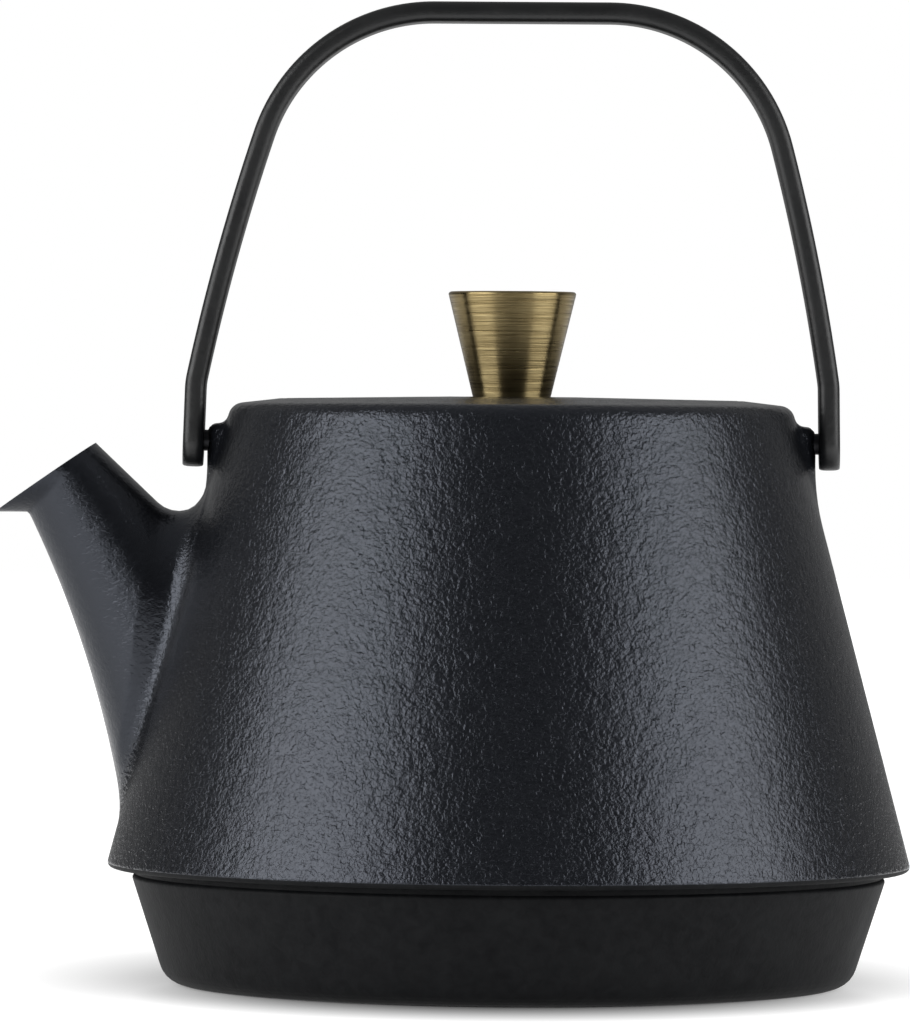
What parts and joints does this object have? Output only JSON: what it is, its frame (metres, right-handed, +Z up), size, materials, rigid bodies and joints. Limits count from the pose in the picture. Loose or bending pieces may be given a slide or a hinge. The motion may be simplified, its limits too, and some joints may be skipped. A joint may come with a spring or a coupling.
{
  "type": "teapot",
  "caption": "Cast-iron teapot with a conical body over a stepped base, a curved spout, a swinging flat-bar bail, a lift-off lid with a tapered brass knob and a steel infuser basket.",
  "frame": {"origin": "on the pot's axis, on the flat bottom that it stands on", "axes": "+Z up, -X towards the spout, +Y away from the side view; the bail swings about an axis along X"},
  "size_m": [0.173, 0.152, 0.186],
  "materials": {
    "cast_iron": "satin black coating over hammered cast grain",
    "bail_iron": "satin black",
    "stud_steel": "blackened",
    "knob_brass": "brushed antique brass",
    "screw_steel": "plain",
    "infuser_steel": "brushed stainless"
  },
  "bodies": {
    "pot": {"pot_body": "cast_iron", "spout": "cast_iron"},
    "lid": {"lid": "cast_iron", "lid_knob": "knob_brass", "knob_screw": "screw_steel", "knob_washer": "screw_steel"},
    "bail": {"bail": "bail_iron", "pivot_stud_left": "stud_steel", "pivot_stud_right": "stud_steel"},
    "infuser": {"infuser_rim": "infuser_steel", "infuser_wall": "infuser_steel", "infuser_floor": "infuser_steel", "infuser_band": "infuser_steel"}
  },
  "joints": [
    {"name": "bail_swing", "type": "hinge", "parent": "pot", "child": "bail", "pos_m": [0, 0, 0.1028], "axis": [1, 0, 0], "range_deg": [-110, 110]},
    {"name": "lid_lift", "type": "slide", "parent": "pot", "child": "lid", "axis": [0, 0, 1], "range_m": [0, 0.045]},
    {"name": "infuser_lift", "type": "slide", "parent": "pot", "child": "infuser", "axis": [0, 0, 1], "range_m": [0, 0.0225]}
  ],
  "couplings": [
    {"joint": "infuser_lift", "follows": "lid_lift", "ratio": 0.5}
  ]
}
